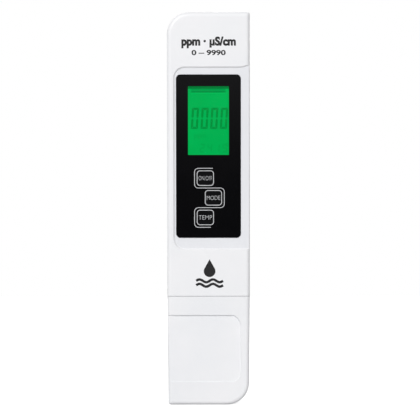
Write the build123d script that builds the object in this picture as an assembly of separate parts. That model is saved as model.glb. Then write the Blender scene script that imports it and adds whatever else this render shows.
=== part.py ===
from build123d import *
import os

# A pen-shaped water tester that stands upright on its cap. Millimetres, +Z up along the pen.
# The display faces -Y and +X lies to the reader's right.
# The origin is the middle of the cap's flat end, halfway through the depth of the case.

# Outer form: two large and two small corners, placed crosswise
body_width = 32.6
cap_length = 43.05
seam_gap = 0.15
large_corner = 8.8
small_corner = 1.0
edge_round = 1.6
cap_narrowing = 0.4

# Case walls
side_wall = 1.8
top_wall = 1.8
rear_wall = 1.4
backing_wall = 1.0
shoulder_wall = 2.0
parting_offset = 1.0

# Recess in the front of the case, open to the right, with sloping walls
recess_depth = 0.6
recess_above = 2.6
recess_below = 4.2
recess_left = 0.55
recess_corner = 3.9
recess_slope = 45.0
flare_length = 3.3
flare_rise = 1.0
flare_radius = 6.0

# Black front panel and its bonding film
panel_margin = 3.6
panel_drop = 24.6
panel_rise = 23.0
panel_corner = 1.75
panel_thickness = 1.0
panel_proud = 0.1
film_thickness = 0.15
panel_clearance = 0.1
film_inset = 0.3

# Display window and display
window_width = 16.0
window_height = 26.9
window_drop = 4.6
window_corner = 0.3
window_clearance = 0.05
aperture_margin = 0.6
glass_margin = 1.5
glass_thickness = 2.0
frame_wall = 1.0
guide_thickness = 1.1
guide_margin = 0.9
guide_rear_gap = 0.25
strip_width = 1.2
lamp_width = 3.0
lamp_height = 1.2
lamp_depth = 1.1
lamp_spread = 4.5
stack_gap = 0.1

# Keys: three in a staggered column
key_width = 6.8
key_height = 6.1
key_pitch = 7.75
key_drop = 6.15
key_base = 8.0
key_offset_odd = -1.25
key_offset_even = 1.95
key_corner = 1.3
key_clearance = 0.12
key_depth = 1.8
key_flange = 0.6
key_flange_thickness = 0.5
key_stem_radius = 1.6
key_travel = 0.35

# Push switches under the keys
switch_side = 5.2
switch_height = 2.1
switch_corner = 0.4
plunger_radius = 1.1
plunger_clearance = 0.1
plunger_bore = 1.2
plunger_engagement = 0.6

# Circuit board
board_thickness = 1.2
board_side_gap = 2.5
board_end_gap = 0.3
board_plug_gap = 1.0
tail_side_gap = 1.8
tail_end_gap = 4.8
post_radius = 1.8
post_inset = 2.7
post_above_keys = 4.8
post_below_keys = 5.8
board_screw_radius = 0.75
board_screw_length = 3.6
board_screw_head_radius = 1.5
board_screw_head = 1.0

# Parts soldered to the board
chip_radius = 5.0
chip_height = 1.6
chip_drop = 17.0
crystal_radius = 1.0
crystal_length = 6.2
crystal_drop = 29.5
resistor_length = 2.0
resistor_width = 1.25
resistor_height = 0.5
resistor_count = 5
resistor_pitch = 3.4
resistor_drop = 37.0
capacitor_length = 2.0
capacitor_width = 1.6
capacitor_height = 1.1
capacitor_count = 4
capacitor_pitch = 4.2
capacitor_drop = 43.0

# Button cells, their tray and contacts
cell_diameter = 11.6
cell_height = 5.4
cell_clearance = 0.25
cell_button_diameter = 9.6
cell_button_height = 0.4
cell_edge = 0.35
tray_wall = 0.8
tray_floor = 0.8
tray_rim_drop = 0.35
contact_thickness = 0.2
contact_width = 2.0
contact_side = 4.0
contact_overlap = 3.0
contact_lift = 0.55
leaf_width = 3.0
leaf_length = 6.0
leaf_crest = 2.0
bridge_width = 7.0
bridge_gap = 0.05
rib_thickness = 1.2
rib_inset = 2.6

# Sliding battery cover
cover_width = 16.6
cover_clearance = 0.1
rail_reach = 0.8
rail_thickness = 0.6
rail_clearance = 0.05
rail_from_inside = 0.1
rail_seat_width = 2.0
rail_seat_depth = 0.8
rail_start_gap = 1.0
rail_end_gap = 5.0
cover_overlap = 0.15
grip_count = 3
grip_pitch = 1.6
grip_width = 11.0
grip_radius = 0.45
grip_inset = 3.0

# Pocket clip
clip_width = 8.0
clip_length = 47.0
clip_thickness = 1.4
clip_gap = 3.5
clip_drop = 7.0
knuckle_radius = 1.6
knuckle_clearance = 0.1
knuckle_height = 1.9
mount_half_height = 3.0
mount_lip = 0.8
clip_neck = 2.0
clip_head = 1.6
clip_tip_gap = 0.3
clip_tip_rise = 3.2
clip_tip_flare = 1.2
clip_bend_rise = 9.0
clip_bend_radius = 2.0
clip_corner = 0.5
clip_edge = 0.35
mount_edge = 0.5

# Case screws
screw_radius = 1.0
screw_clearance = 0.05
screw_length = 8.0
screw_head_radius = 1.9
screw_head_height = 1.3
screw_sink = 1.6
screw_bore_spare = 0.5
screw_slot_width = 0.5
screw_slot_length = 2.2
screw_slot_depth = 0.6
boss_radius = 2.4
upper_screw_drop = 19.0
lower_screw_rise = 12.0
web_thickness = 1.2

# Neck that the cap slides over
neck_wall = 1.4
neck_corner = 1.2
cap_side_wall = 1.5
cap_front_wall = 1.9
cap_rear_wall = 1.5
cap_floor = 2.0
cap_clearance = 0.15
grip_clearance = 0.05
grip_rib_width = 1.2
grip_rib_length = 6.0
grip_rib_side = 8.0
grip_rib_drop = 3.0

# Thumb recess in the cap, open to the left
thumb_rise = 9.2
thumb_drop = 7.4
thumb_right = 3.9
thumb_corner = 4.6
thumb_depth_top = 0.8
thumb_depth_bottom = 0.2
thumb_slope = 35.0

# Probe end
gasket_thickness = 0.6
gasket_inset = 0.5
holder_flange = 1.2
holder_plug_length = 5.4
holder_clearance = 0.1
guard_thickness = 1.5
guard_half_width = 3.5
guard_length = 8.4
guard_inset = 0.8
guard_round = 0.6
pin_radius = 0.8
pin_spread = 4.5
pin_reach = 7.8
pin_overlap = 7.0
pin_chamfer = 0.25
probe_radius = 1.5
probe_reach = 8.9
probe_room = 4.7
probe_tail = 0.5
lead_radius = 0.2
lead_spread = 0.6
lead_overlap = 4.0

# Sizes worked out from the ones above
panel_width = body_width - 2 * panel_margin
panel_height = window_drop + window_height + key_drop + key_height / 2 + 2 * key_pitch + key_base
overall_length = cap_length + seam_gap + panel_rise + panel_height + panel_drop
board_setback = glass_thickness + guide_thickness + 2 * stack_gap + guide_rear_gap
front_stack = recess_depth - panel_proud + panel_thickness + film_thickness + backing_wall
cell_stack = contact_lift + cell_height + bridge_gap + contact_thickness
body_depth = front_stack + board_setback + board_thickness + cell_stack + rear_wall
neck_length = cap_length + seam_gap - cap_floor - probe_room - probe_reach - holder_flange - gasket_thickness
bay_length = 2 * cell_diameter + 3 * cell_clearance

# Places across the width
half_width = body_width / 2
inner_half_width = half_width - side_wall
neck_half_width = half_width - cap_side_wall - cap_clearance
rail_edge = cover_width / 2 + rail_reach + rail_clearance
screw_side = (rail_edge + half_width) / 2
board_half_width = inner_half_width - board_side_gap
tail_half_width = screw_side - boss_radius - tail_side_gap
post_side = board_half_width - post_inset
key_columns = [key_offset_odd, key_offset_even, key_offset_odd]

# Places through the depth, from the front
front = -body_depth / 2
recess_floor = front + recess_depth
panel_front = recess_floor - panel_proud
panel_rear = panel_front + panel_thickness
pocket_floor = panel_rear + film_thickness
inner_front = pocket_floor + backing_wall
key_rear = panel_front + key_depth
board_front = inner_front + board_setback
board_rear = board_front + board_thickness
switch_front = board_front - switch_height
plunger_front = switch_front - key_travel - stack_gap
cell_front = board_rear + contact_lift
cell_rear = cell_front + cell_height
rear = body_depth / 2
inner_rear = rear - rear_wall
neck_front = front + cap_front_wall + cap_clearance
neck_rear = rear - cap_rear_wall - cap_clearance
parting = parting_offset
clip_axis_y = rear + knuckle_height
clip_inner = rear + clip_gap

# Heights, from the cap's end
neck_bottom = cap_length + seam_gap - neck_length
flange_bottom = neck_bottom - gasket_thickness - holder_flange
plug_top = flange_bottom + holder_flange + holder_plug_length
board_bottom = plug_top + board_plug_gap
body_bottom = cap_length + seam_gap
lower_screw = body_bottom + lower_screw_rise
tail_top = lower_screw + boss_radius + tail_end_gap
panel_bottom = body_bottom + panel_rise
panel_top = panel_bottom + panel_height
window_top = panel_top - window_drop
window_bottom = window_top - window_height
key_rows = [panel_bottom + key_base + row * key_pitch for row in (2, 1, 0)]
upper_screw = overall_length - upper_screw_drop
clip_axis_z = overall_length - clip_drop
inner_top = overall_length - top_wall
tray_top = inner_top - stack_gap
bay_top = tray_top - tray_wall
bay_bottom = bay_top - bay_length
tray_bottom = bay_bottom - tray_wall
board_top = tray_bottom - board_end_gap


def block(x0, x1, y0, y1, z0, z1):
    """Rectangular block between two corners."""
    middle = ((x0 + x1) / 2, (y0 + y1) / 2, (z0 + z1) / 2)
    return Pos(*middle) * Box(x1 - x0, y1 - y0, z1 - z0)


def plate(face, y0, y1):
    """Plate between two depths, from its outline as seen from the front."""
    return extrude(Plane.XZ.offset(-y0) * face, amount=y1 - y0, dir=(0, 1, 0))


def across(face, width):
    """Bar along X, centred, from its section as seen along the X axis."""
    return extrude(Plane.YZ * face, amount=width / 2, both=True)


def sunk(face, floor, slope):
    """Cutter for a recess in the front with this floor outline and walls that slope outwards."""
    return extrude(Plane.XZ.offset(-floor) * face, amount=floor - front + 1, dir=(0, -1, 0), taper=-slope)


def outline(x0, x1, z0, z1, corners):
    """Front outline with its corner radii from bottom left, turning anticlockwise."""
    points = [(x0, z0), (x1, z0), (x1, z1), (x0, z1)]
    return make_face(FilletPolyline(*points, radius=corners, close=True))


def rounded(x0, x1, z0, z1, radius):
    """Front outline with one radius at all four corners."""
    return outline(x0, x1, z0, z1, [radius] * 4)


def rod_y(x, z, radius, y0, y1):
    """Round rod along Y."""
    return plate(Pos(x, z) * Circle(radius), y0, y1)


def rod_z(x, y, radius, z0, z1):
    """Round rod along Z."""
    return Pos(x, y, (z0 + z1) / 2) * Cylinder(radius, z1 - z0)


def front_and_rear_edges(solid, keep):
    """Edges around the front and rear faces whose middle passes the test."""
    faces = (front, rear)
    return [e for e in solid.edges() if min(abs(e.center().Y - y) for y in faces) < 1e-6 and keep(e)]


def case_form():
    """Whole outer form of the case above the seam, with its edges rounded."""
    corners = [0, 0, small_corner, large_corner]
    face = outline(-half_width, half_width, body_bottom, overall_length, corners)
    form = plate(face, front, rear)
    edges = front_and_rear_edges(form, lambda e: e.center().Z > body_bottom + seam_gap)
    return fillet(edges, edge_round)


def neck_section(inset):
    """Section of the neck as seen from above, drawn in by an inset."""
    width = 2 * (neck_half_width - inset)
    depth = neck_rear - neck_front - 2 * inset
    middle = (neck_front + neck_rear) / 2
    return Pos(0, middle) * RectangleRounded(width, depth, neck_corner)


def neck_bar(inset, z0, z1):
    """Upright bar with the neck's section."""
    return Pos(0, 0, z0) * extrude(neck_section(inset), amount=z1 - z0, dir=(0, 0, 1))


def case_cavity():
    """Hollow inside both shells."""
    corners = [0, 0, small_corner, large_corner - side_wall]
    floor = body_bottom + shoulder_wall
    hollow = outline(-inner_half_width, inner_half_width, floor, inner_top, corners)
    return plate(hollow, inner_front, inner_rear) + neck_bar(neck_wall, neck_bottom, floor + neck_wall)


def hollow_case():
    """Both shells and the neck as one hollow form."""
    form = case_form() + neck_bar(0, neck_bottom, body_bottom + shoulder_wall)
    return form - case_cavity()


def half_space(y0, y1):
    """Block that holds everything between two depths."""
    reach = overall_length
    return block(-reach, reach, y0, y1, -reach, 2 * reach)


def screw_places():
    """Middle of each case screw as seen from the rear."""
    return [(side * screw_side, z) for z in (upper_screw, lower_screw) for side in (-1, 1)]


def post_places():
    """Middle of each post that carries the board."""
    heights = (key_rows[0] + post_above_keys, key_rows[2] - post_below_keys)
    return [(side * post_side, z) for z in heights for side in (-1, 1)]


def boss(x, z, y0, y1):
    """Screw boss tied to the side wall by a web and kept within that wall."""
    side = 1 if x > 0 else -1
    wall = side * (inner_half_width + side_wall / 2)
    web = block(min(x, wall), max(x, wall), y0, y1, z - web_thickness / 2, z + web_thickness / 2)
    room = block(min(0, wall), max(0, wall), y0, y1, z - boss_radius, z + boss_radius)
    return (rod_y(x, z, boss_radius, y0, y1) & room) + web


def front_shell():
    """Front half of the case with its recess, openings, posts and ribs."""
    shell = hollow_case() & half_space(front - 1, parting)
    shell -= sunk(recess_face(), recess_floor, recess_slope)
    shell -= plate(panel_face(-panel_clearance), front - 1, pocket_floor)
    shell -= plate(window_face(aperture_margin), front, inner_front + 1)
    for x, z in zip(key_columns, key_rows):
        shell -= plate(flange_opening(x, z), front, inner_front + 1)
    for x, z in screw_places():
        shell += boss(x, z, inner_front, parting)
        tip = rear - screw_sink - screw_length
        shell -= rod_y(x, z, screw_radius + screw_clearance, tip - screw_bore_spare, parting + 1)
    for x, z in post_places():
        shell += rod_y(x, z, post_radius, inner_front, board_front)
        tip = board_rear - board_screw_length
        shell -= rod_y(x, z, board_screw_radius + screw_clearance, tip, board_front)
    for z in (bay_bottom + rib_inset, bay_top - rib_inset):
        reach = cell_diameter / 2
        shell += block(-reach, reach, inner_front, board_rear - tray_floor, z - rib_thickness, z)
    return shell


def recess_face():
    """Outline of the recess floor, which flares upwards where it runs out to the right."""
    left, low, high = -panel_width / 2 - recess_left, panel_bottom - recess_below, panel_top + recess_above
    flare_start = half_width - flare_length
    flare_end = high + flare_rise * (body_width - flare_start) / flare_length
    points = [(left, low), (body_width, low), (body_width, flare_end), (flare_start, high), (left, high)]
    radii = [recess_corner, 0, 0, flare_radius, recess_corner]
    return make_face(FilletPolyline(*points, radius=radii, close=True))


def rear_shell():
    """Rear half of the case with the opening and rails for the battery cover."""
    shell = hollow_case() & half_space(parting, rear + 1)
    for x, z in screw_places():
        shell += boss(x, z, parting, inner_rear)
    opening_side = cover_width / 2 + cover_clearance
    for side in (-1, 1):
        inner = side * opening_side
        outer = side * (opening_side + rail_seat_width)
        x0, x1 = min(inner, outer), max(inner, outer)
        shell += block(x0, x1, inner_rear - rail_seat_depth, inner_rear, cover_bottom(), inner_top)
    opening_floor = inner_rear - contact_thickness - cover_clearance
    low, high = opening_bottom(), overall_length + 1
    shell -= block(-opening_side, opening_side, opening_floor, rear + 1, low, high)
    groove_floor = inner_rear + rail_from_inside - rail_clearance
    groove_roof = inner_rear + rail_from_inside + rail_thickness + rail_clearance
    shell -= block(-rail_edge, rail_edge, groove_floor, groove_roof, low, high)
    for x, z in screw_places():
        shell -= rod_y(x, z, screw_radius + screw_clearance, parting - 1, rear)
        shell -= rod_y(x, z, screw_head_radius + screw_clearance, rear - screw_sink, rear + 1)
    return shell


def opening_bottom():
    """Lower edge of the opening in the rear shell."""
    return tray_bottom - cover_overlap - cover_clearance


def cover_bottom():
    """Lower edge of the battery cover."""
    return opening_bottom() + cover_clearance


def panel_face(inset):
    """Outline of the front panel, drawn in by an inset."""
    side = panel_width / 2 - inset
    return rounded(-side, side, panel_bottom + inset, panel_top - inset, panel_corner)


def window_face(margin):
    """Outline of the display window, drawn out by a margin."""
    side = window_width / 2 + margin
    return rounded(-side, side, window_bottom - margin, window_top + margin, window_corner)


def key_face(x, z, side_margin, end_margin, corner):
    """Outline of one key, drawn out by margins at its sides and ends."""
    side = key_width / 2 + side_margin
    end = key_height / 2 + end_margin
    return rounded(x - side, x + side, z - end, z + end, corner)


def flange_opening(x, z):
    """Outline of the hole behind the panel that lets a key's flange move."""
    return key_face(x, z, key_flange + key_clearance, key_clearance, 0)


def fascia_panel():
    """Black front panel with openings for the window and the keys."""
    panel = plate(panel_face(0), panel_front, panel_rear)
    panel -= plate(window_face(window_clearance), front, pocket_floor)
    for x, z in zip(key_columns, key_rows):
        panel -= plate(key_face(x, z, key_clearance, key_clearance, key_corner), front, pocket_floor)
    return panel


def bonding_film():
    """Thin film that bonds the panel to the front shell."""
    film = plate(panel_face(film_inset), panel_rear, pocket_floor)
    film -= plate(window_face(aperture_margin), panel_rear - 1, pocket_floor + 1)
    for x, z in zip(key_columns, key_rows):
        film -= plate(flange_opening(x, z), panel_rear - 1, pocket_floor + 1)
    return film


def display_window():
    """Clear window set flush in the panel."""
    return plate(window_face(0), panel_front, panel_rear)


def glass_ends():
    """Lower and upper ends of the display glass."""
    return window_bottom - glass_margin, window_top + glass_margin


def display_glass():
    """Liquid crystal cell behind the window."""
    side = window_width / 2 + glass_margin
    low, high = glass_ends()
    start = inner_front + stack_gap
    return block(-side, side, start, start + glass_thickness, low, high)


def display_frame():
    """Ring that locates the display between the front wall and the board."""
    side = window_width / 2 + glass_margin + stack_gap
    low, high = glass_ends()
    ring = block(
        -side - frame_wall, side + frame_wall, inner_front, board_front, low - stack_gap - frame_wall,
        high + stack_gap + frame_wall,
    )
    return ring - block(-side, side, front, rear, low - stack_gap, high + stack_gap)


def guide_start():
    """Depth of the front face of the light guide."""
    return inner_front + 2 * stack_gap + glass_thickness


def light_guide():
    """Plate that spreads the backlight behind the glass."""
    side = window_width / 2 + guide_margin
    start = guide_start()
    low = glass_ends()[0] + strip_width + 2 * stack_gap
    high = glass_ends()[1] - lamp_height - 2 * stack_gap
    return block(-side, side, start, start + guide_thickness, low, high)


def backlight_lamps():
    """Two small lamps on the board at the upper end of the light guide."""
    high = glass_ends()[1]
    lamps = Part()
    for side in (-1, 1):
        x0 = side * lamp_spread - lamp_width / 2
        low, start = high - lamp_height, board_front - lamp_depth
        lamps += block(x0, x0 + lamp_width, start, board_front, low, high)
    return lamps


def contact_strip():
    """Rubber strip that joins the glass to the board at its lower edge."""
    side = window_width / 2
    low = glass_ends()[0]
    start = inner_front + stack_gap + glass_thickness
    return block(-side, side, start, board_front, low, low + strip_width)


def key(x, z):
    """Key with a flange that holds it behind the panel and a stem to its switch."""
    body = plate(key_face(x, z, 0, 0, key_corner), panel_front, key_rear)
    flange_start = key_rear - key_flange_thickness
    body += plate(key_face(x, z, key_flange, 0, 0), flange_start, key_rear)
    return body + rod_y(x, z, key_stem_radius, key_rear, plunger_front)


def plunger(x, z):
    """Moving plunger of one push switch."""
    return rod_y(x, z, plunger_radius, plunger_front, switch_front + plunger_engagement)


def push_switches():
    """Fixed housings of the three push switches."""
    housings = Part()
    half = switch_side / 2
    for x, z in zip(key_columns, key_rows):
        square = rounded(x - half, x + half, z - half, z + half, switch_corner)
        housing = plate(square, switch_front, board_front)
        bore_radius = plunger_radius + plunger_clearance
        bore = rod_y(x, z, bore_radius, switch_front - 1, switch_front + plunger_bore)
        housings += housing - bore
    return housings


def circuit_board():
    """Board that runs from the display down to the electrodes."""
    board = block(-board_half_width, board_half_width, board_front, board_rear, tail_top, board_top)
    board += block(-tail_half_width, tail_half_width, board_front, board_rear, board_bottom, tail_top)
    for x, z in post_places():
        board -= rod_y(x, z, board_screw_radius + screw_clearance, board_front - 1, board_rear + 1)
    return board


def pan_screw(x, z, seat, radius, length, head_radius, head_height):
    """Pan head screw driven towards -Y from its seat."""
    top = seat + head_height
    head = rod_y(x, z, head_radius, seat, top)
    head = fillet(head.edges().sort_by(Axis.Y)[-1], head_height / 2)
    slots = Part()
    for long, wide in ((screw_slot_length, screw_slot_width), (screw_slot_width, screw_slot_length)):
        slot_floor = top - screw_slot_depth
        slots += block(x - long / 2, x + long / 2, slot_floor, top + 1, z - wide / 2, z + wide / 2)
    return head - slots + rod_y(x, z, radius, seat - length, seat)


def board_screws():
    """Small screws that hold the board to its posts."""
    screws = Part()
    length = board_screw_length - board_thickness / 2
    for x, z in post_places():
        screws += pan_screw(
            x, z, board_rear, board_screw_radius, length, board_screw_head_radius, board_screw_head
        )
    return screws


def case_screws():
    """Screws that close the case, sunk in the rear shell."""
    screws = Part()
    for x, z in screw_places():
        screws += pan_screw(
            x, z, rear - screw_sink, screw_radius, screw_length, screw_head_radius, screw_head_height
        )
    return screws


def controller_chip():
    """Bonded chip under its domed resin cover."""
    z = board_top - chip_drop
    ball_radius = (chip_radius**2 + chip_height**2) / (2 * chip_height)
    ball = Pos(0, board_rear + chip_height - ball_radius, z) * Sphere(ball_radius)
    return ball & half_space(board_rear, rear)


def timing_crystal():
    """Small round crystal can that lies on the board."""
    z = board_top - crystal_drop
    return rod_z(0, board_rear + crystal_radius, crystal_radius, z, z + crystal_length)


def row_of_parts(count, pitch, length, width, height, z):
    """Row of soldered blocks across the board."""
    row = Part()
    for place in range(count):
        x = (place - (count - 1) / 2) * pitch
        row += block(x - width / 2, x + width / 2, board_rear, board_rear + height, z, z + length)
    return row


def button_cell(z, button_first):
    """Button cell lying flat with its small pole at one side."""
    can_front = cell_front + cell_button_height if button_first else cell_front
    can = rod_y(0, z, cell_diameter / 2, can_front, can_front + cell_height - cell_button_height)
    can = fillet(can.edges().filter_by(GeomType.CIRCLE), cell_edge)
    button_front = cell_front if button_first else cell_rear - cell_button_height
    return can + rod_y(0, z, cell_button_diameter / 2, button_front, button_front + cell_button_height)


def cell_heights():
    """Middle of the lower and of the upper cell."""
    lower = bay_bottom + cell_clearance + cell_diameter / 2
    return lower, lower + cell_clearance + cell_diameter


def battery_tray():
    """Tray that holds the two cells, with slots for the contact tails."""
    side = cell_diameter / 2 + cell_clearance
    outer = side + tray_wall
    tray_rear = cell_rear - tray_rim_drop
    tray = block(-outer, outer, board_rear - tray_floor, tray_rear, tray_bottom, tray_top)
    bay = rounded(-side, side, bay_bottom, bay_top, side - stack_gap)
    tray -= plate(bay, board_rear, rear)
    for x in (-contact_side, contact_side):
        half = contact_width / 2 + stack_gap
        roof = board_rear + contact_thickness + stack_gap
        tray -= block(x - half, x + half, board_rear, roof, tray_bottom - 1, bay_bottom + contact_overlap)
    return tray


def cell_contact(x, z):
    """Sprung strip from the board to the face of one cell."""
    half = contact_width / 2
    low = tray_bottom - board_end_gap - contact_overlap
    bar = z - leaf_length / 2
    strip = block(x - half, x + half, board_rear, board_rear + contact_thickness, low, bar)
    end = leaf_width / 2 if x < 0 else -leaf_width / 2
    x0, x1 = min(x - half, end), max(x + half, end)
    strip += block(x0, x1, board_rear, board_rear + contact_thickness, bar - contact_width, bar)
    crest = cell_front - contact_thickness
    flat = (leaf_length - leaf_crest) / 2
    heights = (bar, bar + flat, bar + flat + leaf_crest, bar + leaf_length)
    under = list(zip((board_rear, crest, crest, board_rear), heights))
    over = [(y + contact_thickness, height) for y, height in reversed(under)]
    return strip + across(make_face(Polyline(*under, *over, close=True)), leaf_width)


def bridge_contact():
    """Plate inside the cover that joins the two cells."""
    lower, upper = cell_heights()
    side = bridge_width / 2
    return block(-side, side, cell_rear + bridge_gap, inner_rear, lower - side, upper + side)


def battery_cover():
    """Sliding cover with rails, finger grips and the socket of the clip."""
    side = cover_width / 2
    low = cover_bottom()
    cover = case_form() & block(-side, side, inner_rear, rear + 1, low, overall_length + 1)
    rail_side = side + rail_reach
    rail_floor = inner_rear + rail_from_inside
    rail_high = overall_length - rail_end_gap
    rail_low = low + rail_start_gap
    cover += block(-rail_side, rail_side, rail_floor, rail_floor + rail_thickness, rail_low, rail_high)
    mount_rear = clip_axis_y + mount_lip
    low_z, high_z = clip_axis_z - mount_half_height, clip_axis_z + mount_half_height
    mount = block(-clip_width / 2, clip_width / 2, inner_rear, mount_rear, low_z, high_z)
    cover += fillet(mount.edges().group_by(Axis.Y)[-1], mount_edge)
    bore = Pos(clip_axis_y, clip_axis_z) * Circle(knuckle_radius + knuckle_clearance)
    cover -= across(bore, body_width)
    for step in range(grip_count):
        z = low + grip_inset + step * grip_pitch
        cover -= Pos(0, rear, z) * Rot(0, 90, 0) * Cylinder(grip_radius, grip_width)
    return cover


def pocket_clip():
    """Clip with a knuckle at its root, a long arm and a rounded tip."""
    low = clip_axis_z - clip_length
    high = clip_axis_z + clip_head
    tip = rear + clip_tip_gap
    bend = low + clip_bend_rise
    inner_side = [(clip_inner, high), (clip_inner, bend), (tip, low + clip_tip_rise), (tip + clip_tip_flare, low)]
    outer_side = [(y + clip_thickness, z) for y, z in reversed(inner_side)]
    side_radii = [clip_corner, clip_bend_radius, clip_bend_radius / 2, clip_corner]
    radii = side_radii + side_radii[::-1]
    section = make_face(FilletPolyline(*inner_side, *outer_side, radius=radii, close=True))
    root = clip_inner + clip_edge
    section += Pos((clip_axis_y + root) / 2, clip_axis_z) * Rectangle(root - clip_axis_y, clip_neck)
    section += Pos(clip_axis_y, clip_axis_z) * Circle(knuckle_radius)
    clip = across(section, clip_width)
    return fillet([e for e in clip.edges() if abs(e.center().X) > clip_width / 2 - clip_edge], clip_edge)


def protective_cap():
    """Hollow cap with a thumb recess in its front and grip ribs inside."""
    end = half_width - cap_narrowing
    points = [(-end, 0), (end, 0), (half_width, cap_length), (-half_width, cap_length)]
    face = make_face(FilletPolyline(*points, radius=[small_corner, large_corner, 0, 0], close=True))
    cap = plate(face, front, rear)
    cap = fillet(front_and_rear_edges(cap, lambda e: e.center().Z < cap_length - seam_gap), edge_round)
    side = half_width - cap_side_wall
    corners = [small_corner, large_corner - cap_side_wall, 0, 0]
    inside = outline(-side, side, cap_floor, cap_length + 1, corners)
    cap -= plate(inside, front + cap_front_wall, rear - cap_rear_wall)
    cap -= thumb_recess()
    rib_top = cap_length - grip_rib_drop
    for x in (-grip_rib_side, grip_rib_side):
        x0, x1 = x - grip_rib_width / 2, x + grip_rib_width / 2
        for face_y, inward in ((front + cap_front_wall, 1), (rear - cap_rear_wall, -1)):
            tip = face_y + inward * (cap_clearance - grip_clearance)
            root = face_y - inward * grip_clearance
            y0, y1 = min(tip, root), max(tip, root)
            cap += block(x0, x1, y0, y1, rib_top - grip_rib_length, rib_top)
    return cap


def thumb_recess():
    """Cutter for the sloping thumb recess, deepest at its upper edge."""
    corners = [0, thumb_corner, thumb_corner, 0]
    thumb_top = cap_length - thumb_drop
    face = outline(-body_width, half_width - thumb_right, thumb_rise, thumb_top, corners)
    wedge = [
        (front - 1, thumb_rise),
        (front + thumb_depth_bottom, thumb_rise),
        (front + thumb_depth_top, thumb_top),
        (front - 1, thumb_top),
    ]
    floor = across(make_face(Polyline(*wedge, close=True)), 3 * body_width)
    return sunk(face, front + thumb_depth_top, thumb_slope) & floor


def probe_gasket():
    """Flat rubber ring between the neck and the probe holder."""
    z = neck_bottom - gasket_thickness
    ring = neck_bar(gasket_inset, z, neck_bottom)
    return ring - neck_bar(neck_wall, z - 1, neck_bottom + 1)


def probe_holder():
    """Moulded plug that closes the neck and guards the electrodes."""
    flange_top = flange_bottom + holder_flange
    holder = neck_bar(0, flange_bottom, flange_top)
    holder += neck_bar(neck_wall + holder_clearance, flange_top, flange_top + holder_plug_length)
    middle = neck_middle()
    for side in (-1, 1):
        outer = side * (neck_half_width - guard_inset)
        inner = outer - side * guard_thickness
        guard = block(
            min(inner, outer), max(inner, outer), middle - guard_half_width, middle + guard_half_width,
            flange_bottom - guard_length, flange_bottom,
        )
        low_edges = guard.edges().filter_by(Axis.X).sort_by(Axis.Z)[:2]
        holder += fillet(low_edges, guard_round)
    for x in (-pin_spread, pin_spread):
        holder -= rod_z(x, pin_depth(), pin_radius + screw_clearance, flange_bottom - 1, board_bottom)
    return holder - rod_z(0, middle, probe_radius + screw_clearance, flange_bottom - 1, board_bottom)


def neck_middle():
    """Middle of the neck's depth."""
    return (neck_front + neck_rear) / 2


def pin_depth():
    """Depth of the electrode axes, so that the pins lie on the board."""
    return board_rear + pin_radius


def electrode_pins():
    """Two metal pins soldered to the board."""
    pins = Part()
    low = flange_bottom - pin_reach
    for x in (-pin_spread, pin_spread):
        pin = rod_z(x, pin_depth(), pin_radius, low, board_bottom + pin_overlap)
        pins += chamfer(pin.edges().sort_by(Axis.Z)[0], pin_chamfer)
    return pins


def temperature_probe():
    """Closed metal tube with a domed end that holds the heat sensor."""
    low = flange_bottom - probe_reach
    tube = rod_z(0, neck_middle(), probe_radius, low + probe_radius, board_bottom - probe_tail)
    return tube + Pos(0, neck_middle(), low + probe_radius) * Sphere(probe_radius)


def sensor_leads():
    """Two fine wires from the heat sensor to the board."""
    leads = Part()
    for x in (-lead_spread, lead_spread):
        y = board_rear + lead_radius
        leads += rod_z(x, y, lead_radius, board_bottom - probe_tail, board_bottom + lead_overlap)
    return leads


def build_parts():
    """Every separate piece by name."""
    lower_cell, upper_cell = cell_heights()
    pieces = {
        "front_shell": front_shell(),
        "rear_shell": rear_shell(),
        "protective_cap": protective_cap(),
        "fascia_panel": fascia_panel(),
        "bonding_film": bonding_film(),
        "display_window": display_window(),
        "display_glass": display_glass(),
        "display_frame": display_frame(),
        "light_guide": light_guide(),
        "backlight_lamps": backlight_lamps(),
        "contact_strip": contact_strip(),
        "circuit_board": circuit_board(),
        "board_screws": board_screws(),
        "controller_chip": controller_chip(),
        "timing_crystal": timing_crystal(),
        "resistors": row_of_parts(
            resistor_count, resistor_pitch, resistor_length, resistor_width, resistor_height,
            board_top - resistor_drop,
        ),
        "capacitors": row_of_parts(
            capacitor_count, capacitor_pitch, capacitor_length, capacitor_width, capacitor_height,
            board_top - capacitor_drop,
        ),
        "push_switches": push_switches(),
        "battery_tray": battery_tray(),
        "negative_contact": cell_contact(-contact_side, lower_cell),
        "positive_contact": cell_contact(contact_side, upper_cell),
        "button_cell_lower": button_cell(lower_cell, True),
        "button_cell_upper": button_cell(upper_cell, False),
        "battery_cover": battery_cover(),
        "bridge_contact": bridge_contact(),
        "pocket_clip": pocket_clip(),
        "case_screws": case_screws(),
        "probe_holder": probe_holder(),
        "probe_gasket": probe_gasket(),
        "electrode_pins": electrode_pins(),
        "temperature_probe": temperature_probe(),
        "sensor_leads": sensor_leads(),
    }
    for name, x, z in zip(("power", "mode", "temperature"), key_columns, key_rows):
        pieces[name + "_key"] = key(x, z)
        pieces[name + "_plunger"] = plunger(x, z)
    return pieces


os.makedirs("parts", exist_ok=True)
for name, piece in build_parts().items():
    export_step(piece, f"parts/{name}.step")
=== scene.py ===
import bmesh
import bpy
import math
from mathutils import Euler, Matrix, Vector


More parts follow.
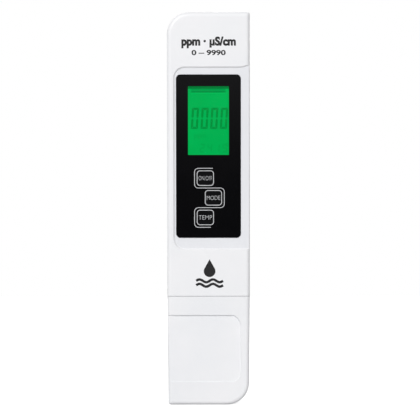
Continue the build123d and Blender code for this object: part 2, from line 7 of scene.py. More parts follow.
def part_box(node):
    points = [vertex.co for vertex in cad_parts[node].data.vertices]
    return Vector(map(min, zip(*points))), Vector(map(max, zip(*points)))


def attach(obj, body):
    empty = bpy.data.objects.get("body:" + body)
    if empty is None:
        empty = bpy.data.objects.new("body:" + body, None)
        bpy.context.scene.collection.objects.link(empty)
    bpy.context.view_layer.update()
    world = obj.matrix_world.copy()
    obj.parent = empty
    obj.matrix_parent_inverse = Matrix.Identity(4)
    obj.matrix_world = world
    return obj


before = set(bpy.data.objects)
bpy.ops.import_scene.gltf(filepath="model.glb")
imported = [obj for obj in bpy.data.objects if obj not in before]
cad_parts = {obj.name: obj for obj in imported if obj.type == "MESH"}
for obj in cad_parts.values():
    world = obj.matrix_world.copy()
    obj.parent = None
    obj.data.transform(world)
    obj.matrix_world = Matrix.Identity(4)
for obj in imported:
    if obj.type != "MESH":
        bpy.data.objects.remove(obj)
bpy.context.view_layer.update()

# Case, two halves
# Injection-moulded white ABS, screwed together from the rear along a parting line round the sides.
# The mould is spark eroded, which leaves a fine satin grain, and the wall shows faint clouds of tone.
# The real grain is finer than 0.1 mm and is drawn at 0.35 mm, so that it can show.
millimetre = 0.001
abs_white = "#F1F1F3"
abs_shade = "#ECEDF0"
abs_grain = 0.35 * millimetre
abs_cloud = 26 * millimetre
recess_depth = 0.6 * millimetre


def linear(hex_colour):
    """Linear colour with full alpha from an sRGB hex value."""
    parts = [int(hex_colour[i:i + 2], 16) / 255 for i in (1, 3, 5)]
    return [c / 12.92 if c <= 0.04045 else ((c + 0.055) / 1.055) ** 2.4 for c in parts] + [1]


def add(tree, kind, inputs=None, **settings):
    """Adds a node with its settings. An input takes a value or another node's output."""
    node = tree.nodes.new("ShaderNode" + kind)
    for name, value in settings.items():
        setattr(node, name, value)
    for name, value in (inputs or {}).items():
        if isinstance(value, bpy.types.NodeSocket):
            tree.links.new(value, node.inputs[name])
        else:
            node.inputs[name].default_value = value
    return node


def new_material(name):
    """Empty material with its node tree."""
    material = bpy.data.materials.new(name)
    material.use_nodes = True
    material.node_tree.nodes.clear()
    return material, material.node_tree


def close(tree, shader):
    """Joins a shader to the material's output."""
    add(tree, "OutputMaterial", {"Surface": shader.outputs[0]})


def two_tones(tree, factor, dark, light, start=0.35, end=0.65):
    """Colour that runs from a dark to a light tone between two heights of a noise."""
    ramp = add(tree, "ValToRGB", {"Fac": factor})
    lower, upper = ramp.color_ramp.elements
    lower.position, upper.position = start, end
    lower.color, upper.color = linear(dark), linear(light)
    return ramp.outputs["Color"]


def moulded(name, light, dark, cloud, grain, roughness, spread, ior, depth):
    """Plastic, ink, rubber or resin: a cloud of two tones, a fine grain and uneven gloss."""
    material, tree = new_material(name)
    place = add(tree, "TexCoord").outputs["Object"]
    clouds = add(tree, "TexNoise", {"Vector": place, "Scale": 1 / cloud, "Detail": 3})
    tone = two_tones(tree, clouds.outputs["Fac"], dark, light)
    pits = add(tree, "TexNoise", {"Vector": place, "Scale": 1 / grain, "Detail": 2})
    low, high = roughness - spread, roughness + spread
    gloss = add(tree, "MapRange", {"Value": clouds.outputs["Fac"], "To Min": high, "To Max": low})
    bump = add(tree, "Bump", {"Height": pits.outputs["Fac"], "Strength": 0.5, "Distance": depth})
    surface = add(tree, "BsdfPrincipled", {
        "Base Color": tone,
        "Roughness": gloss.outputs["Result"],
        "Normal": bump.outputs["Normal"],
        "IOR": ior,
    })
    close(tree, surface)
    return material


def finish(material, *nodes):
    """Gives CAD nodes their material."""
    for name in nodes:
        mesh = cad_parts[name].data
        mesh.materials.clear()
        mesh.materials.append(material)


# Satin white ABS: soft highlights that fade along the rounded edges.
white_abs = moulded(
    "white_abs_satin", abs_white, abs_shade, abs_cloud, abs_grain,
    roughness=0.42, spread=0.05, ior=1.53, depth=0.004 * millimetre,
)
finish(white_abs, "front_shell", "rear_shell")
# The recess floor has a finer grain and a little more gloss than the rest, and its white is painted a touch
# greyer and cooler as shade in the recess.
recess_painted_shade_white = moulded(
    "white_abs_recess_painted_shade", "#E9EAEE", "#E5E6EA", abs_cloud, abs_grain / 2,
    roughness=0.36, spread=0.05, ior=1.53, depth=0.002 * millimetre,
)
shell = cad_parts["front_shell"].data
shell.materials.append(recess_painted_shade_white)
front_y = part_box("front_shell")[0].y
recess_y = front_y + recess_depth
facing_reader = -0.99
level_tolerance = 0.05 * millimetre
# The faces of the recess floor take the painted shade material.
for face in shell.polygons:
    if face.normal.y < facing_reader and abs(face.center.y - recess_y) < level_tolerance:
        face.material_index = 1

# Parting line
# The two halves meet along a hairline round the sides and the top, where the edges of both mouldings
# are very slightly rounded. A fine grey line let into the joint stands for its shadow.
parting_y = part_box("front_shell")[1].y
hairline = 0.05 * millimetre
low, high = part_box("rear_shell")
large_corner = 8.8 * millimetre
small_corner = 1.0 * millimetre
seam_gap = 0.15 * millimetre


def arc(middle, radius, start, end, steps=12):
    """Points of a circular arc between two angles in degrees."""
    angles = [math.radians(start + (end - start) * i / steps) for i in range(steps + 1)]
    return [(middle[0] + radius * math.cos(a), middle[1] + radius * math.sin(a)) for a in angles]


def round_line(name, points, radius, material, body):
    """Fine round line through 3-D points."""
    curve = bpy.data.curves.new(name, "CURVE")
    curve.dimensions = "3D"
    curve.bevel_depth = radius
    curve.bevel_resolution = 2
    curve.use_fill_caps = True
    spline = curve.splines.new("POLY")
    spline.points.add(len(points) - 1)
    for point, place in zip(spline.points, points):
        point.co = (*place, 1)
    piece = bpy.data.objects.new(name, curve)
    bpy.context.scene.collection.objects.link(piece)
    curve.materials.append(material)
    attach(piece, body)
    return piece


body_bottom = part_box("protective_cap")[1].z + seam_gap
outline = [(high.x, body_bottom)]
outline += arc((high.x - small_corner, high.z - small_corner), small_corner, 0, 90)
outline += arc((low.x + large_corner, high.z - large_corner), large_corner, 90, 180)
outline += [(low.x, body_bottom)]
# Shadow grey: a matt line without a highlight.
joint_shadow = moulded(
    "joint_shadow", "#A9AAAD", "#9C9DA0", abs_cloud, abs_grain,
    roughness=0.7, spread=0.05, ior=1.5, depth=0.001 * millimetre,
)
line = [(x, parting_y, z) for x, z in outline]
round_line("parting_line", line, hairline, joint_shadow, "case")

# Fascia panel
# Clear acrylic, 1 mm thick, printed black from behind and bonded into the shell's recess with foam film.
# The print gives a deep black under a polished face that shows soft reflections and faint wiping marks.
panel_black = "#060608"
panel_black_low = "#040406"
wipe_length = 9 * millimetre
black_acrylic = moulded(
    "black_acrylic_polished", panel_black, panel_black_low, wipe_length, grain=1.2 * millimetre,
    roughness=0.12, spread=0.05, ior=1.49, depth=0.0006 * millimetre,
)
finish(black_acrylic, "fascia_panel")
# Closed-cell acrylic foam: a dull grey edge.
foam_film = moulded(
    "acrylic_foam_film", "#6E6E70", "#5C5C5E", cloud=2 * millimetre, grain=0.1 * millimetre,
    roughness=0.8, spread=0.1, ior=1.47, depth=0.01 * millimetre,
)
finish(foam_film, "bonding_film")

# Display window
# Clear acrylic insert with an anti-reflection coat, set flush in the panel.
# The coat keeps the display's green pure, with only a faint sheen.
clear_acrylic, tree = new_material("clear_acrylic_coated")
place = add(tree, "TexCoord").outputs["Object"]
smears = add(tree, "TexNoise", {"Vector": place, "Scale": 1 / (6 * millimetre), "Detail": 4})
sheen = add(tree, "MapRange", {"Value": smears.outputs["Fac"], "To Min": 0.0, "To Max": 0.02})
close(tree, add(tree, "BsdfPrincipled", {
    "Base Color": linear("#FFFFFF"),
    "Roughness": sheen.outputs["Result"],
    "IOR": 1.49,
    "Specular Tint": linear("#6E6E70"),
    "Transmission Weight": 1.0,
}))
finish(clear_acrylic, "display_window")

# Liquid crystal cell
# Two glass plates with a ledge at the top, lit from behind in green. A polariser film covers them up to
# a little below the window's top edge; the bare glass above it glows a darker green, painted shade under that
# edge.
# A second layer ends lower, with a dark edge and a bright rim.
lit_green = "#00B252"
lit_green_deep = "#00AE4F"
# The bare glass above the film is painted a darker green, as shade under the window's top edge.
painted_shade_glass_green = "#007A36"
upper_band_green = "#009D48"
film_edge_green = "#018038"
film_rim_green = "#00BC58"
segment_green = "#028D3C"
faint_green = "#029F47"
window_low, window_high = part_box("display_window")
cell_low, cell_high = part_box("display_glass")
film_thickness = 0.12 * millimetre
layer_thickness = film_thickness / 4
film_drop = 0.9 * millimetre
film_line_drop = 1.95 * millimetre
film_line_height = 0.42 * millimetre
film_line_inset = 1.2 * millimetre


def lit(name, bright, deep):
    """Backlit layer: it glows evenly, with a soft unevenness from the light guide."""
    material, tree = new_material(name)
    place = add(tree, "TexCoord").outputs["Object"]
    glow = add(tree, "TexNoise", {"Vector": place, "Scale": 1 / (14 * millimetre), "Detail": 1})
    tone = two_tones(tree, glow.outputs["Fac"], deep, bright, start=0.4, end=0.6)
    haze = add(tree, "TexNoise", {"Vector": place, "Scale": 1 / (0.2 * millimetre), "Detail": 2})
    gloss = add(tree, "MapRange", {"Value": haze.outputs["Fac"], "To Min": 0.3, "To Max": 0.4})
    close(tree, add(tree, "BsdfPrincipled", {
        "Base Color": linear("#020A05"),
        "Roughness": gloss.outputs["Result"],
        "IOR": 1.5,
        "Specular IOR Level": 0.03,
        "Emission Color": tone,
        "Emission Strength": 1.0,
    }))
    return material


def flat_piece(name, outlines, rear_y, thickness, material, body):
    """Thin flat piece that faces the reader, from outlines of (x, z) points."""
    mesh = bpy.data.meshes.new(name)
    build = bmesh.new()
    for outline in outlines:
        build.faces.new([build.verts.new((x, rear_y, z)) for x, z in outline])
    bmesh.ops.remove_doubles(build, verts=build.verts, dist=0.0001 * millimetre)
    grown = bmesh.ops.extrude_face_region(build, geom=build.faces[:])
    moved = [part for part in grown["geom"] if isinstance(part, bmesh.types.BMVert)]
    bmesh.ops.translate(build, verts=moved, vec=(0, -thickness, 0))
    bmesh.ops.recalc_face_normals(build, faces=build.faces)
    # A fixed order of corners and faces makes every run write the same mesh.
    order = Vector((1.0, 17.3, 131.7))
    build.verts.sort(key=lambda corner: corner.co.dot(order))
    build.faces.sort(key=lambda face: face.calc_center_median().dot(order))
    build.to_mesh(mesh)
    build.free()
    mesh.materials.append(material)
    piece = bpy.data.objects.new(name, mesh)
    bpy.context.scene.collection.objects.link(piece)
    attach(piece, body)


def oblong(x0, x1, z0, z1):
    """Corners of a rectangle."""
    return [(x0, z0), (x1, z0), (x1, z1), (x0, z1)]


# Lit glass: a flat green glow with next to no reflection. Where the film leaves it bare at the top, its green
# is painted darker as shade under the window's top edge.
finish(lit("display_glass_lit_painted_shade", painted_shade_glass_green, painted_shade_glass_green), "display_glass")
film_top = window_high.z - film_drop
film_face = oblong(cell_low.x, cell_high.x, cell_low.z, film_top)
lit_film = lit("polariser_film_lit", lit_green, lit_green_deep)
flat_piece("polariser_film", [film_face], cell_low.y, film_thickness, lit_film, "case")
film_y = cell_low.y - film_thickness
line_top = window_high.z - film_line_drop
line_left, line_right = window_low.x + film_line_inset, window_high.x - film_line_inset
edge_layers = (
    ("upper_band", film_top, line_top, upper_band_green),
    ("film_edge", line_top, line_top - film_line_height, film_edge_green),
    ("film_rim", line_top - film_line_height, line_top - 2 * film_line_height, film_rim_green),
)
for name, upper, lower, green in edge_layers:
    layer = oblong(line_left, line_right, lower, upper)
    layer_glow = lit(name + "_lit", green, green)
    flat_piece(name, [layer], film_y, layer_thickness, layer_glow, "case")

# Segments of the display
# Transparent electrodes etched on the glass: four large digits, a row of small ones and a degree ring.
# They hold back some of the light, so they read as a faint darker green.
digit_height = 8.4 * millimetre
digit_width = 2.85 * millimetre
digit_pitch = 3.82 * millimetre
digit_stroke = 0.9 * millimetre
digit_left = 1.0 * millimetre
digit_top = 8.35 * millimetre
small_height = 3.3 * millimetre
small_width = 1.8 * millimetre
small_pitch = 2.97 * millimetre
small_stroke = 0.4 * millimetre
small_top = 22.6 * millimetre
small_right = 2.55 * millimetre
unit_left = 4.7 * millimetre
unit_drop = 19.9 * millimetre
unit_width = 4.6 * millimetre
unit_height = 2.0 * millimetre
unit_weight = 0.0
degree_right = 0.75 * millimetre
degree_radius = 0.45 * millimetre
degree_corners = 24
slant = math.tan(math.radians(3.4))
segment_gap = 0.08 * millimetre
bars_of = {"0": "abcdef", "1": "bc", "2": "abdeg", "4": "bcfg", "5": "acdfg"}


def digit(figure, left, top, width, height, stroke):
    """Outlines of the lit segments of one figure, mitred where they meet."""
    half, gap = stroke / 2, segment_gap
    x0, x1, x2, x3 = left, left + stroke, left + width - stroke, left + width
    z0, z1, z2 = top - height, top - height / 2, top
    upper = [(z2 - gap, z2 - stroke - gap), (z1 + gap, z1 + half + gap)]
    lower = [(z0 + gap, z0 + stroke + gap), (z1 - gap, z1 - half - gap)]
    shapes = {
        "a": [(x0 + gap, z2), (x1 + gap, z2 - stroke), (x2 - gap, z2 - stroke), (x3 - gap, z2)],
        "d": [(x0 + gap, z0), (x1 + gap, z0 + stroke), (x2 - gap, z0 + stroke), (x3 - gap, z0)],
        "g": [
            (x0 + half, z1), (x1, z1 + half), (x2, z1 + half),
            (x3 - half, z1), (x2, z1 - half), (x1, z1 - half),
        ],
    }
    sides = {"b": (x3, x2, upper), "c": (x3, x2, lower), "f": (x0, x1, upper), "e": (x0, x1, lower)}
    for letter, (outer, inner, ((corner, mitre), (point, shoulder))) in sides.items():
        middle = (outer + inner) / 2
        shapes[letter] = [
            (outer, corner), (inner, mitre), (inner, shoulder), (middle, point), (outer, shoulder),
        ]
    return [[(x + (z - z0) * slant, z) for x, z in shapes[letter]] for letter in bars_of[figure]]


def ribbon(path, width, closed):
    """Outlines of a flat line along a path."""
    count = len(path)
    sides = []
    for i, here in enumerate(path):
        before = path[i - 1] if closed or i else here
        after = path[(i + 1) % count] if closed or i < count - 1 else here
        along = (after - before).normalized()
        across = Vector((-along.y, along.x)) * width / 2
        sides.append((here - across, here + across))
    pairs = zip(sides, sides[1:] + sides[:1]) if closed else zip(sides, sides[1:])
    return [[tuple(a), tuple(c), tuple(d), tuple(b)] for (a, b), (c, d) in pairs]


def lettering(name, words, middle, width, height, rear_y, thickness, weight, material, body):
    """Printed letters of a given overall width and height that face the reader."""
    curve = bpy.data.curves.new(name + "_curve", "FONT")
    curve.body = words
    curve.offset = weight
    curve.resolution_u = 5
    half_depth = 0.5
    curve.extrude = half_depth
    text = bpy.data.objects.new(name + "_curve", curve)
    bpy.context.scene.collection.objects.link(text)
    bpy.context.view_layer.update()
    mesh = bpy.data.meshes.new_from_object(text.evaluated_get(bpy.context.evaluated_depsgraph_get()))
    bpy.data.objects.remove(text)
    xs = [v.co.x for v in mesh.vertices]
    ys = [v.co.y for v in mesh.vertices]
    across, up = width / (max(xs) - min(xs)), height / (max(ys) - min(ys))
    for v in mesh.vertices:
        x = middle[0] + (v.co.x - (max(xs) + min(xs)) / 2) * across
        z = middle[1] + (v.co.y - (max(ys) + min(ys)) / 2) * up
        v.co = (x, rear_y - (v.co.z + half_depth) * thickness, z)
    mesh.materials.clear()
    mesh.materials.append(material)
    mesh.name = name
    piece = bpy.data.objects.new(name, mesh)
    bpy.context.scene.collection.objects.link(piece)
    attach(piece, body)


segments = []
for place, figure in enumerate("0000"):
    left = window_low.x + digit_left + place * digit_pitch
    segments += digit(figure, left, window_high.z - digit_top, digit_width, digit_height, digit_stroke)
small_segments = []
small_figures = "2415"
for place, figure in enumerate(small_figures):
    left = window_high.x - small_right + (place + 1 - len(small_figures)) * small_pitch
    small_segments += digit(figure, left, window_high.z - small_top, small_width, small_height, small_stroke)
ring_middle = (window_high.x - degree_right, window_high.z - small_top - degree_radius)
degree_end = 360 - 360 / degree_corners
degree_ring = arc(ring_middle, degree_radius, 0, degree_end, degree_corners - 1)
small_segments += ribbon([Vector(p) for p in degree_ring], small_stroke, True)
# Etched electrode layer: faint, with the same glow as the film behind it.
etched = lit("etched_segments", segment_green, segment_green)
flat_piece("display_segments", segments, film_y, layer_thickness, etched, "case")
# The small figures hold back less light still, so they nearly vanish in the green.
etched_faint = lit("etched_segments_faint", faint_green, faint_green)
flat_piece("display_small_figures", small_segments, film_y, layer_thickness, etched_faint, "case")
unit_middle = (window_low.x + unit_left, window_high.z - unit_drop)
lettering("display_unit", "ppm", unit_middle, unit_width, unit_height, film_y, layer_thickness, unit_weight,
          etched_faint, "case")

# Display frame, light guide, lamps and contact strip
# A black ABS ring holds the glass, a frosted acrylic plate spreads the light of two white side-view lamps,
# and a rubber strip of alternate conducting layers joins the glass to the board.
# The ring's matt black is dull, with a broad weak sheen.
black_abs = moulded(
    "black_abs_matt", "#1B1B1C", "#141415", cloud=6 * millimetre, grain=0.2 * millimetre,
    roughness=0.6, spread=0.08, ior=1.53, depth=0.006 * millimetre,
)
finish(black_abs, "display_frame")
# Frosted acrylic: a milky plate that blurs what lies behind it, dotted by its moulded light spots.
frosted, tree = new_material("frosted_acrylic")
place = add(tree, "TexCoord").outputs["Object"]
dots = add(tree, "TexVoronoi", {"Vector": place, "Scale": 1 / (0.6 * millimetre)})
haze = add(tree, "MapRange", {"Value": dots.outputs["Distance"], "To Min": 0.35, "To Max": 0.6})
close(tree, add(tree, "BsdfPrincipled", {
    "Base Color": linear("#E9F6EC"),
    "Roughness": haze.outputs["Result"],
    "IOR": 1.49,
    "Transmission Weight": 0.8,
}))
finish(frosted, "light_guide")
# Ivory lamp resin: a warm, half glossy block.
lamp_body = moulded(
    "lamp_resin_ivory", "#EFE9CF", "#E6DFC0", cloud=1.5 * millimetre, grain=0.1 * millimetre,
    roughness=0.45, spread=0.05, ior=1.5, depth=0.002 * millimetre,
)
finish(lamp_body, "backlight_lamps")


def banded(name, light, dark, pitch, axis, roughness, metallic, depth, ior=None):
    """Layered, drawn or ground surface: fine bands across one axis."""
    material, tree = new_material(name)
    place = add(tree, "TexCoord").outputs["Object"]
    # The real lines of drawn, rolled or ground metal are finer, and are drawn at this pitch to show.
    bands_along = 60
    scale = [1 / pitch if i == axis else bands_along for i in range(3)]
    stretch = add(tree, "Mapping", {"Vector": place, "Scale": scale})
    bands = add(tree, "TexNoise", {"Vector": stretch.outputs["Vector"], "Scale": 1.0, "Detail": 3})
    tone = two_tones(tree, bands.outputs["Fac"], dark, light)
    gloss = add(tree, "MapRange", {
        "Value": bands.outputs["Fac"], "To Min": roughness * 0.75, "To Max": roughness * 1.25,
    })
    bump = add(tree, "Bump", {"Height": bands.outputs["Fac"], "Strength": 0.4, "Distance": depth})
    inputs = {
        "Base Color": tone,
        "Roughness": gloss.outputs["Result"],
        "Normal": bump.outputs["Normal"],
        "Metallic": metallic,
    }
    if ior:
        inputs["IOR"] = ior
    close(tree, add(tree, "BsdfPrincipled", inputs))
    return material


# Layered rubber: narrow pale and dark stripes on a dull block.
strip_rubber = banded(
    "layered_rubber", "#C9B7B2", "#2A2626", pitch=0.1 * millimetre, axis=0,
    roughness=0.6, metallic=0.0, depth=0.002 * millimetre, ior=1.43,
)
finish(strip_rubber, "contact_strip")

# Keys
# Three black rubber keys moulded with a flange behind the panel. Each face carries a printed grey ring
# and its word, which move with it. The rubber is smooth, nearly as glossy as the panel and a bit greyer.
key_rubber = moulded(
    "black_rubber_key", "#0D0D0F", "#0A0A0C", cloud=3 * millimetre, grain=0.4 * millimetre,
    roughness=0.16, spread=0.05, ior=1.43, depth=0.0008 * millimetre,
)
finish(key_rubber, "power_key", "mode_key", "temperature_key")
# Screen-printed pale grey ink: a thin film with a slightly rough face.
grey_ink = moulded(
    "grey_screen_ink", "#C9CACC", "#BFC0C3", cloud=1.5 * millimetre, grain=0.08 * millimetre,
    roughness=0.45, spread=0.05, ior=1.5, depth=0.001 * millimetre,
)
key_width = 6.8 * millimetre
key_corner = 1.3 * millimetre
ring_inset = 0.03 * millimetre
ring_width = 0.28 * millimetre
ink_thickness = 0.02 * millimetre
word_height = 1.65 * millimetre
word_width = 5.3 * millimetre
word_weight = -0.015
corner_steps = 8


def corner_arcs(befores, corners, afters, radius):
    """Arcs that take the place of right-angled corners, each given with the points before and after it."""
    path = []
    for before, corner, after in zip(befores, corners, afters):
        here = Vector(corner)
        back = (Vector(before) - here).normalized()
        on = (Vector(after) - here).normalized()
        middle = here + (back + on) * radius
        for step in range(corner_steps + 1):
            turn = math.radians(90 * step / corner_steps)
            path.append(middle - (on * math.cos(turn) + back * math.sin(turn)) * radius)
    return path


key_faces = []
for key, word in (("power_key", "ON/OFF"), ("mode_key", "MODE"), ("temperature_key", "TEMP")):
    key_low, key_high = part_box(key)
    x, z = (key_low.x + key_high.x) / 2, (key_low.z + key_high.z) / 2
    side, end = key_width / 2, (key_high.z - key_low.z) / 2
    key_faces.append((x - side, x + side, z - end, z + end))
    inset = ring_inset + ring_width / 2
    corners = oblong(x - side + inset, x + side - inset, z - end + inset, z + end - inset)
    befores, afters = corners[-1:] + corners[:-1], corners[1:] + corners[:1]
    ring = ribbon(corner_arcs(befores, corners, afters, key_corner - inset), ring_width, True)
    flat_piece(key + "_ring", ring, key_low.y, ink_thickness, grey_ink, key)
    lettering(key + "_word", word, (x, z), word_width, word_height, key_low.y, ink_thickness, word_weight,
              grey_ink, key)

# Line round the keys
# One printed line winds round the three keys and ties them together.
# It is the same pale grey ink as the rings, on the panel itself.
line_width = 0.26 * millimetre
line_side_gap = 0.86 * millimetre
line_end_gap = 0.84 * millimetre
line_corner = 1.5 * millimetre
line_start = 1.75 * millimetre
line_finish = 0.85 * millimetre
power_left, _, power_foot, power_top = key_faces[0]
_, mode_right, mode_foot, mode_top = key_faces[1]
heat_left, _, heat_foot, heat_top = key_faces[2]
winding = [
    (line_start, power_top + line_end_gap),
    (power_left - line_side_gap, power_top + line_end_gap),
    (power_left - line_side_gap, (power_foot + mode_top) / 2),
    (mode_right + line_side_gap, (power_foot + mode_top) / 2),
    (mode_right + line_side_gap, (mode_foot + heat_top) / 2),
    (heat_left - line_side_gap, (mode_foot + heat_top) / 2),
    (heat_left - line_side_gap, heat_foot - line_end_gap),
    (line_finish, heat_foot - line_end_gap),
]
panel_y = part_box("fascia_panel")[0].y
turns = corner_arcs(winding, winding[1:], winding[2:], line_corner)
key_path = [Vector(winding[0])] + turns + [Vector(winding[-1])]
key_line = ribbon(key_path, line_width, False)
flat_piece("key_line", key_line, panel_y, ink_thickness, grey_ink, "case")

# Push switches and board
# Matt black switches with moving plungers, soldered to a glass-fibre board under green solder mask.
# The board also carries the controller, its crystal, the small parts and the sensor's tinned leads.
finish(black_abs, "push_switches", "power_plunger", "mode_plunger", "temperature_plunger")
# Green solder mask: glossy lacquer that rises over the copper tracks below it in paler blocks.
board_mask, tree = new_material("green_solder_mask")
place = add(tree, "TexCoord").outputs["Object"]
weave = add(tree, "TexNoise", {"Vector": place, "Scale": 1 / (0.5 * millimetre), "Detail": 2})
tracks = add(tree, "TexBrick", {
    "Vector": add(tree, "Mapping", {"Vector": place, "Rotation": (math.radians(90), 0, 0)}).outputs["Vector"],
    "Color1": linear("#1F6B3A"),
    "Color2": linear("#237441"),
    "Mortar": linear("#18552E"),
    "Scale": 1 / (6 * millimetre),
    "Mortar Size": 0.05,
})
relief = add(tree, "Bump", {"Height": tracks.outputs["Fac"], "Strength": 0.4, "Distance": 0.03 * millimetre})
gloss = add(tree, "MapRange", {"Value": weave.outputs["Fac"], "To Min": 0.25, "To Max": 0.4})
close(tree, add(tree, "BsdfPrincipled", {
    "Base Color": tracks.outputs["Color"],
    "Roughness": gloss.outputs["Result"],
    "Normal": relief.outputs["Normal"],
    "IOR": 1.55,
}))
finish(board_mask, "circuit_board")
# Black epoxy: a soft shine on a slightly wavy, poured face.
chip_resin = moulded(
    "black_epoxy_resin", "#161616", "#0F0F10", cloud=4 * millimetre, grain=0.5 * millimetre,
    roughness=0.3, spread=0.08, ior=1.55, depth=0.01 * millimetre,
)
finish(chip_resin, "controller_chip", "resistors")
# Fired ceramic: tan, fine grained and half dull.
ceramic = moulded(
    "tan_ceramic", "#B58F62", "#A47F55", cloud=1 * millimetre, grain=0.08 * millimetre,
    roughness=0.5, spread=0.08, ior=1.6, depth=0.003 * millimetre,
)
finish(ceramic, "capacitors")
# Tin on drawn copper: silvery, with fine lines along the wire that stretch its highlights.
tinned = banded(
    "tinned_copper_drawn", "#D6D4CE", "#B9B7B2", pitch=0.05 * millimetre, axis=0,
    roughness=0.3, metallic=1.0, depth=0.001 * millimetre,
)
finish(tinned, "sensor_leads", "timing_crystal")

# Button cells, tray and contacts
# Two nickel-plated steel cells lie side by side in a white ABS tray, on sprung nickel contacts.
# The tray's ABS is duller and a little greyer than the case.
tray_abs = moulded(
    "white_abs_tray", "#EDEDEC", "#E6E6E4", cloud=12 * millimetre, grain=0.3 * millimetre,
    roughness=0.5, spread=0.05, ior=1.53, depth=0.005 * millimetre,
)
finish(tray_abs, "battery_tray")
# Rolled nickel strip: warm silver with straight rolling lines.
nickel = banded(
    "nickel_strip_rolled", "#D2CDC2", "#BEB9AE", pitch=0.06 * millimetre, axis=0,
    roughness=0.25, metallic=1.0, depth=0.001 * millimetre,
)
finish(nickel, "negative_contact", "positive_contact", "bridge_contact")
# Nickel plate on pressed steel: bright, with fine lines that draw the highlight out.
cell_steel = banded(
    "nickel_plated_cell", "#D9D8D6", "#C6C5C3", pitch=0.12 * millimetre, axis=2,
    roughness=0.22, metallic=1.0, depth=0.001 * millimetre,
)
finish(cell_steel, "button_cell_lower", "button_cell_upper")

# Screws
# Nickel-plated steel screws with cross slots, sunk in the rear shell and on the board.
# Their plate is a shade darker and rougher than the cells', so the heads glint softly.
screw_steel = banded(
    "nickel_plated_screw", "#C9C8C6", "#AFAEAC", pitch=0.1 * millimetre, axis=0,
    roughness=0.28, metallic=1.0, depth=0.002 * millimetre,
)
finish(screw_steel, "case_screws", "board_screws")

# Battery cover and pocket clip
# The cover slides in grooves of the rear shell and keeps the cells in, and the clip snaps into it.
# Both are moulded in the same satin white ABS as the case.
finish(white_abs, "battery_cover", "pocket_clip")

# Measuring end
# A white ABS plug closes the neck over a black silicone ring. It holds two titanium pins and a drawn
# stainless tube with the heat sensor, between two guards.
# The plug has a soft sheen close to the case's.
holder_abs = moulded(
    "white_abs_holder", "#EFEFEE", "#E8E8E7", cloud=9 * millimetre, grain=0.25 * millimetre,
    roughness=0.45, spread=0.05, ior=1.53, depth=0.004 * millimetre,
)
finish(holder_abs, "probe_holder")
# Silicone: a dull, slightly greasy black.
silicone = moulded(
    "black_silicone", "#202022", "#18181A", cloud=3 * millimetre, grain=0.1 * millimetre,
    roughness=0.55, spread=0.05, ior=1.41, depth=0.002 * millimetre,
)
finish(silicone, "probe_gasket")
# Ground titanium: a warm dark grey with rings from the grinding.
titanium = banded(
    "titanium_ground", "#B9B4AC", "#A29D96", pitch=0.05 * millimetre, axis=2,
    roughness=0.32, metallic=1.0, depth=0.001 * millimetre,
)
finish(titanium, "electrode_pins")
# Drawn stainless steel: clean and bright, with a long highlight down the tube.
stainless = banded(
    "stainless_drawn", "#CFCFCD", "#B8B8B6", pitch=0.07 * millimetre, axis=0,
    roughness=0.2, metallic=1.0, depth=0.001 * millimetre,
)
finish(stainless, "temperature_probe")

# Cap
# Injection-moulded in the same satin white ABS as the case. Friction holds it on the neck, and the thumb
# pulls it off at the shallow recess in its front.
finish(white_abs, "protective_cap")

# Printed words and sign on the front
# Black pad-printed ink, slightly glossier than the case: units and range at the top, a drop over
# water below. Each print is a film of ink 0.02 mm thick.
black_ink = moulded(
    "black_pad_ink", "#121214", "#0C0C0E", cloud=2 * millimetre, grain=0.1 * millimetre,
    roughness=0.4, spread=0.06, ior=1.5, depth=0.001 * millimetre,
)
units_middle = (0.1 * millimetre, 143.0 * millimetre)
units_width = 21.4 * millimetre
units_height = 4.6 * millimetre
units_weight = 0.05
range_middle = (0.1 * millimetre, 139.0 * millimetre)
range_width = 13.4 * millimetre
range_height = 2.1 * millimetre
range_weight = 0.03
lettering("units_print", "ppm · µS/cm", units_middle, units_width, units_height, front_y, ink_thickness,
          units_weight, black_ink, "case")
lettering("range_print", "0 – 9990", range_middle, range_width, range_height, front_y, ink_thickness,
          range_weight, black_ink, "case")
sign_middle = (0.4 * millimetre, 52.4 * millimetre)
drop_radius = 2.3 * millimetre
drop_height = 7.0 * millimetre
drop_lift = 0.6 * millimetre
drop_steps = 40
wave_width = 10.6 * millimetre
wave_height = 0.55 * millimetre
wave_stroke = 1.0 * millimetre
wave_drop = 3.2 * millimetre
wave_pitch = 1.75 * millimetre
wave_rows = 2
wave_crests = 2
wave_steps = 48


def drop(middle, radius, height):
    """Outline of a drop: a circle drawn out to a point above it."""
    x, z = middle
    touch = math.degrees(math.asin(radius / (height - radius)))
    return arc((x, z), radius, 180 - touch, 360 + touch, drop_steps) + [(x, z + height - radius)]


def wave(middle, width, height):
    """Middle line of a wave."""
    path = []
    for i in range(wave_steps + 1):
        along = i / wave_steps
        rise = height * math.sin(along * wave_crests * 2 * math.pi)
        path.append(Vector((middle[0] + (along - 0.5) * width, middle[1] + rise)))
    return path


sign = [drop((sign_middle[0], sign_middle[1] + drop_lift), drop_radius, drop_height)]
for row in range(wave_rows):
    level = sign_middle[1] - wave_drop - row * wave_pitch
    sign += ribbon(wave((sign_middle[0], level), wave_width, wave_height), wave_stroke, False)
flat_piece("water_sign", sign, front_y, ink_thickness, black_ink, "case")

# Studio
# A sheet of white paper is the floor. A large soft lamp stands at the reader's upper left, a weak one at
# the right and one behind. The air is white to the camera. In mirrored light it is white behind the meter
# and dim in front of it, so the black panel stays black.
half_floor = 0.5
paper_dark = "#BEBEBE"
paper_light = "#C8C8C8"
paper_glow = 0.75
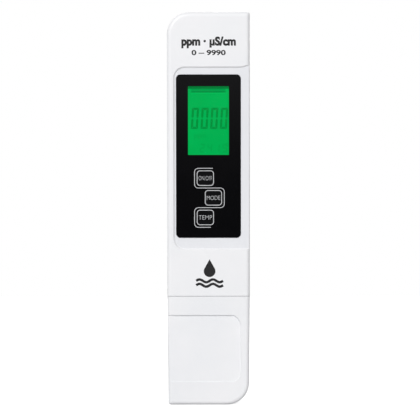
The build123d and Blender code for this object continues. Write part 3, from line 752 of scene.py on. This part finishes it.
# White paper: soft and even, with a faint fibre cloud. It glows for the camera alone.
paper, tree = new_material("white_paper")
seen = add(tree, "LightPath")
place = add(tree, "TexCoord").outputs["Object"]
fibres = add(tree, "TexNoise", {"Vector": place, "Scale": 1 / (8 * millimetre), "Detail": 4})
tone = two_tones(tree, fibres.outputs["Fac"], paper_dark, paper_light, start=0, end=1)
sheet = add(tree, "BsdfDiffuse", {"Color": tone})
glow = add(tree, "Emission", {"Strength": paper_glow})
lifted = add(tree, "AddShader", {0: sheet.outputs[0], 1: glow.outputs[0]})
paper_mix = {0: seen.outputs["Is Camera Ray"], 1: sheet.outputs[0], 2: lifted.outputs[0]}
close(tree, add(tree, "MixShader", paper_mix))


def stage_plane(name, corners):
    """Flat sheet of the studio."""
    mesh = bpy.data.meshes.new(name)
    mesh.from_pydata(corners, [], [(0, 1, 2, 3)])
    mesh.materials.append(paper)
    piece = bpy.data.objects.new(name, mesh)
    bpy.context.scene.collection.objects.link(piece)


stage_plane("paper_floor", [(x, y, 0) for x, y in oblong(-half_floor, half_floor, -half_floor, half_floor)])

rear_heading = (-0.5, 1, 0)
wall_edge = 0.4
room_floor = 0.02
room_top = 0.35
diffuse_level = 0.42
world = bpy.data.worlds.new("studio")
bpy.context.scene.world = world
world.use_nodes = True
tree = world.node_tree
tree.nodes.clear()
seen = add(tree, "LightPath")
heading = add(tree, "TexCoord").outputs["Generated"]
rearward = add(tree, "VectorMath", {0: heading, 1: rear_heading}, operation="DOT_PRODUCT")
upward = add(tree, "VectorMath", {0: heading, 1: (0, 0, 1)}, operation="DOT_PRODUCT")
wall = add(tree, "MapRange", {"Value": rearward.outputs["Value"], "From Min": 0.0, "From Max": wall_edge})
room = add(tree, "MapRange", {
    "Value": upward.outputs["Value"],
    "From Min": -0.01,
    "From Max": 0.08,
    "To Min": room_floor,
    "To Max": room_top,
})
mirrored = add(tree, "Math", {0: wall.outputs["Result"], 1: room.outputs["Result"]}, operation="MAXIMUM")
glossy_ray, passing_ray = seen.outputs["Is Glossy Ray"], seen.outputs["Is Transmission Ray"]
either = add(tree, "Math", {0: glossy_ray, 1: passing_ray}, operation="MAXIMUM")
around = add(tree, "Mix", {"Factor": either.outputs[0], "A": diffuse_level, "B": mirrored.outputs[0]})
level = add(tree, "Math", {
    0: seen.outputs["Is Camera Ray"],
    1: around.outputs["Result"],
}, operation="MAXIMUM")
air = add(tree, "Background", {"Color": (1, 1, 1, 1), "Strength": level.outputs[0]})
add(tree, "OutputWorld", {"Surface": air.outputs[0]})


def soft_lamp(name, place, target, size, power):
    """Large square lamp that points at a target."""
    light = bpy.data.lights.new(name, "AREA")
    light.size = size
    light.energy = power
    lamp = bpy.data.objects.new(name, light)
    lamp.location = place
    lamp.rotation_euler = (Vector(target) - Vector(place)).to_track_quat("-Z", "Y").to_euler()
    lamp.visible_camera = False
    bpy.context.scene.collection.objects.link(lamp)


soft_lamp("key_lamp", (-1.62, -4.0, 2.1), target=(0, 0, 0.07), size=2.0, power=143)
soft_lamp("fill_lamp", (1.6, -1.9, 0.52), target=(0, 0, 0.02), size=1.0, power=5.5)
soft_lamp("rear_lamp", (0.5, 2.2, 0.9), target=(0, 0, 0.08), size=1.2, power=30)

# Camera
# It stands 0.7 m away, very slightly above the middle, with a long lens.
# Its place and lens follow the photograph's view.
camera_distance = 0.7
camera_pitch = math.radians(2.0)
camera_roll = math.radians(-0.057)
target = Vector((0.58, 0, 76.9)) * millimetre
focal_pixels = 1757.9
frame_pixels = 420
sensor = 36
data = bpy.data.cameras.new("camera")
data.sensor_width = sensor
data.lens = focal_pixels / frame_pixels * sensor
camera = bpy.data.objects.new("camera", data)
back = Vector((0, -math.cos(camera_pitch), math.sin(camera_pitch))) * camera_distance
tilt = Euler((math.radians(90) - camera_pitch, 0, 0)).to_matrix().to_4x4()
turn = tilt @ Matrix.Rotation(camera_roll, 4, "Z")
camera.matrix_world = Matrix.Translation(target + back) @ turn
bpy.context.scene.collection.objects.link(camera)
bpy.context.scene.camera = camera
bpy.context.scene.view_settings.view_transform = "Standard"
